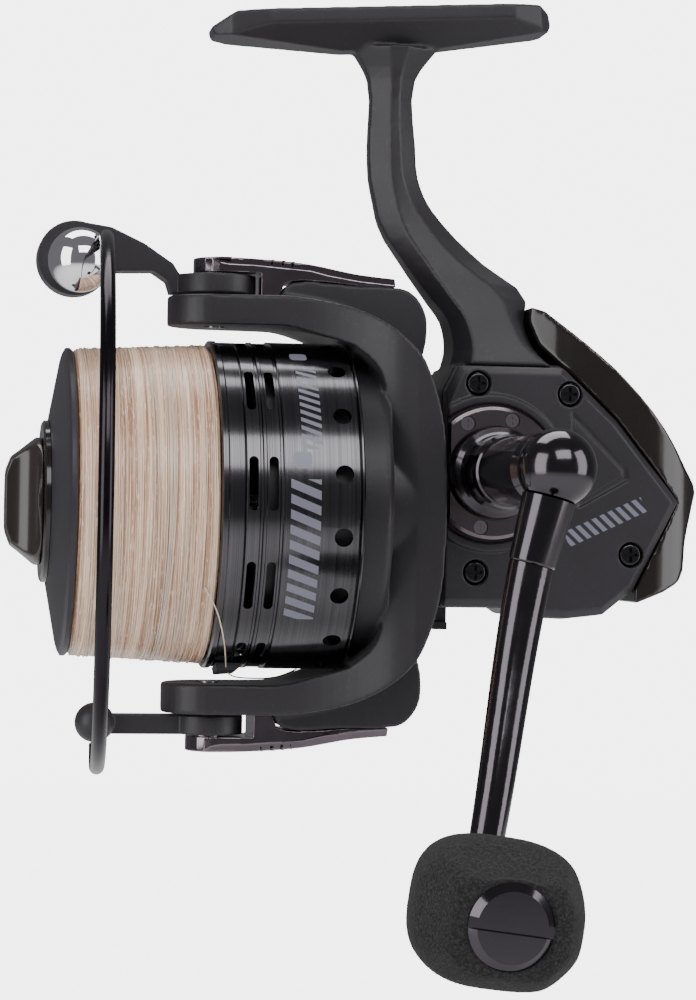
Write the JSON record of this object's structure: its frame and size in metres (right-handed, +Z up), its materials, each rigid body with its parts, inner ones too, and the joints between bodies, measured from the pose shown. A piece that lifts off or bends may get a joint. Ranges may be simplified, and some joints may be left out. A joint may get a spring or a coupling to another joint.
{
  "type": "spinning reel",
  "caption": "Front-drag spinning reel with a wound spool, rotor, folding bail, round-capped line roller and a cranked handle with an oval foam grip.",
  "frame": {"origin": "centre of the foot's seat face", "axes": "+Z up towards the rod, -X towards the spool's front along the spool axis, -Y towards the handle"},
  "size_m": [0.1472, 0.1543, 0.195],
  "materials": {
    "matte_black": "soft-touch matte black, slightly violet",
    "gloss_trim": "glossy brown-black",
    "ground_metal": "finely turned gunmetal",
    "gunmetal": "polished gunmetal",
    "black_chrome": "black chrome",
    "chrome": "mirror",
    "anodised_black": "gloss black anodised, turned",
    "aluminium": "machined",
    "steel": "ground",
    "screw_black": "black oxide",
    "brass": "machined",
    "foam": "fine closed-cell foam",
    "bush_nylon": "plain",
    "felt": "woven carbon felt",
    "line": "translucent nylon line, wound"
  },
  "bodies": {
    "body": {"body_frame": "matte_black", "side_cover": "matte_black", "rear_trim": "gloss_trim", "bearing_plate": "ground_metal", "far_side_cap": "matte_black", "pinion_bearing": "steel", "clutch_outer": "steel", "drive_bearing_near": "steel", "drive_bearing_far": "steel", "cover_screw_1": "screw_black", "cover_screw_2": "screw_black", "cover_screw_3": "screw_black", "cover_screw_4": "screw_black", "plate_screw_1": "screw_black", "plate_screw_2": "screw_black", "plate_screw_3": "screw_black", "plate_screw_4": "screw_black"},
    "anti_reverse": {"anti_reverse_lever": "matte_black"},
    "crank": {"drive_gear": "aluminium", "drive_shaft": "steel", "handle_neck": "black_chrome", "ball_hub": "black_chrome", "arm_sleeve": "black_chrome", "crank_arm": "black_chrome", "grip_spindle": "steel"},
    "hand_grip": {"grip": "foam", "grip_bush": "bush_nylon", "grip_cap": "black_chrome"},
    "rotor": {"rotor_yoke": "matte_black", "pinion_gear": "brass", "rotor_nut": "aluminium", "arm_cover_upper": "gunmetal", "arm_cover_lower": "gunmetal", "arm_cover_screw_upper": "screw_black", "arm_cover_screw_lower": "screw_black", "bail_pivot_upper": "steel", "bail_pivot_lower": "steel"},
    "bail": {"bail_lever_upper": "matte_black", "bail_lever_lower": "matte_black", "bail_wire": "black_chrome", "roller_cap": "chrome", "roller_axle": "steel"},
    "roller": {"line_roller": "steel"},
    "shaft": {"main_shaft": "steel", "oscillation_slider": "matte_black", "drag_disc_1": "steel"},
    "spool": {"spool_core": "aluminium", "spool_front": "anodised_black", "spool_skirt": "anodised_black", "line_winding": "line", "line_clip": "matte_black", "spool_bearing_1": "steel", "spool_bearing_2": "steel", "click_ratchet": "steel", "drag_felt_1": "felt", "drag_felt_2": "felt", "line_tail": "line"},
    "drag": {"drag_knob": "gloss_trim", "drag_knob_plate": "gloss_trim", "drag_knob_boss": "gloss_trim"}
  },
  "joints": [
    {"name": "crank_turn", "type": "hinge", "parent": "body", "child": "crank", "pos_m": [0.0223, 0, -0.0992], "axis": [0, 1, 0], "continuous": true},
    {"name": "grip_spin", "type": "hinge", "parent": "crank", "child": "hand_grip", "pos_m": [0.0051, -0.1, -0.1796], "axis": [0, 1, 0], "continuous": true},
    {"name": "rotor_turn", "type": "hinge", "parent": "body", "child": "rotor", "pos_m": [-0.005, 0, -0.1067], "axis": [1, 0, 0], "continuous": true},
    {"name": "bail_flip", "type": "hinge", "parent": "rotor", "child": "bail", "pos_m": [-0.0345, 0, -0.1067], "axis": [0, 0, -1], "range_deg": [0, 100]},
    {"name": "roller_spin", "type": "hinge", "parent": "bail", "child": "roller", "pos_m": [-0.064, -0.004, -0.0566], "axis": [0, 1, 0], "continuous": true},
    {"name": "spool_stroke", "type": "slide", "parent": "body", "child": "shaft", "axis": [-1, 0, 0], "range_m": [0, 0.023]},
    {"name": "spool_drag", "type": "hinge", "parent": "shaft", "child": "spool", "pos_m": [-0.05, 0, -0.1067], "axis": [1, 0, 0], "continuous": true},
    {"name": "drag_turn", "type": "hinge", "parent": "shaft", "child": "drag", "pos_m": [-0.071, 0, -0.1067], "axis": [1, 0, 0], "range_deg": [-540, 540]},
    {"name": "anti_reverse_swing", "type": "hinge", "parent": "body", "child": "anti_reverse", "pos_m": [0.015, 0, -0.1237], "axis": [1, 0, 0], "range_deg": [-12, 12]}
  ],
  "couplings": [
    {"joint": "crank_turn", "follows": "rotor_turn", "ratio": 0.21739}
  ]
}
